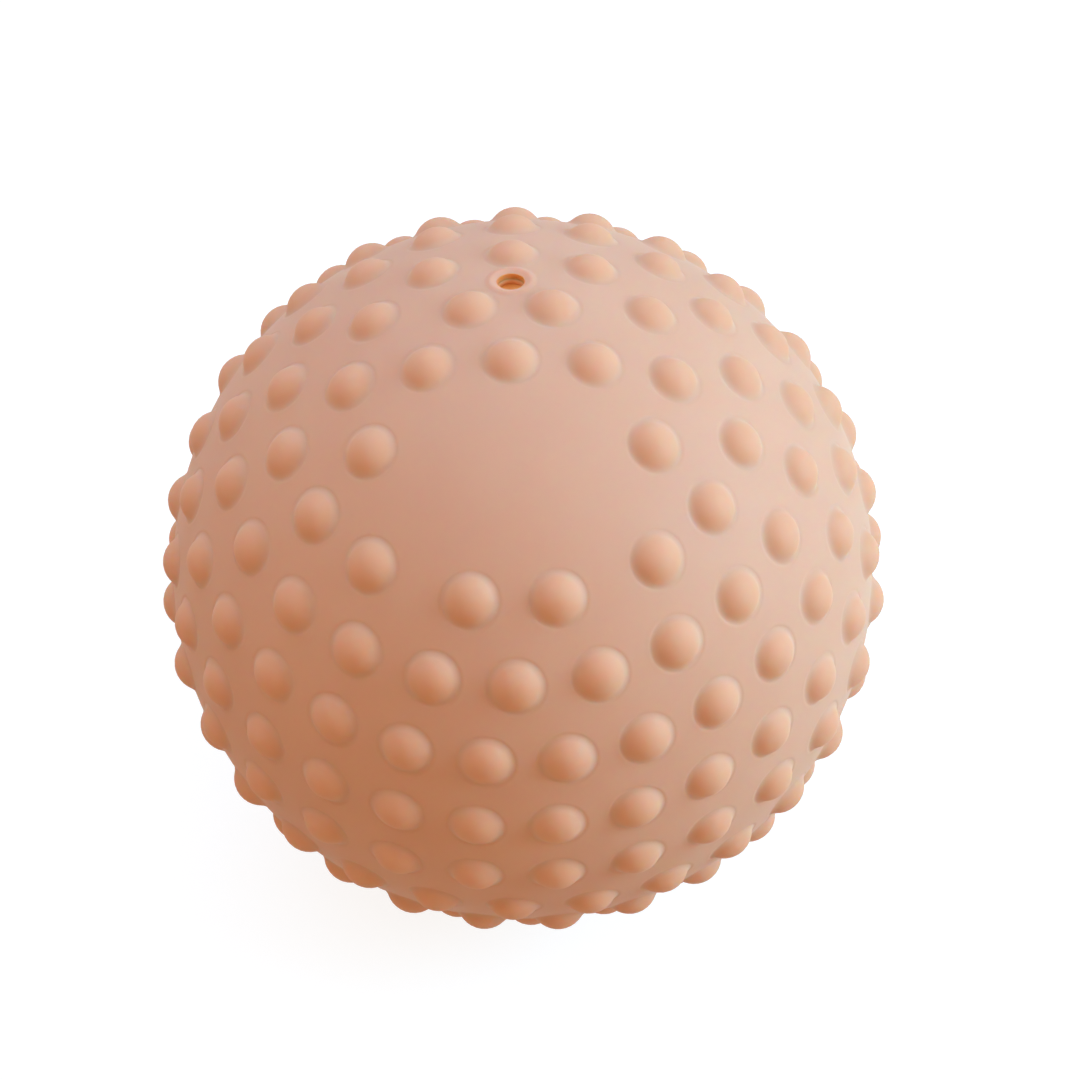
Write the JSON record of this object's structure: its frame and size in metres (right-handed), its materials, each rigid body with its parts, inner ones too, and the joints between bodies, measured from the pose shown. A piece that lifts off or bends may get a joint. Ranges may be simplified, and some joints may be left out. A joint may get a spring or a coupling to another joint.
{
  "type": "sensory ball",
  "caption": "Inflatable sensory ball of soft vinyl with domed nubs in rows, one bare round patch and a self-sealing needle valve.",
  "frame": {"origin": "centre of the ball", "axes": "+Z through the pole that the rows of nubs circle; -Y towards the front, the side to which the bare patch leans from the pole; the valve leans the other way, +Y; +X to the right seen from the front"},
  "size_m": [0.1992, 0.1992, 0.2],
  "materials": {
    "skin": "satin soft vinyl, warm terracotta pink",
    "valve": "matte vinyl, a shade deeper than the skin",
    "bung": "matte amber gum rubber"
  },
  "bodies": {
    "root": {"ball_skin": "skin", "valve_body": "valve", "valve_bung": "bung"}
  },
  "joints": []
}
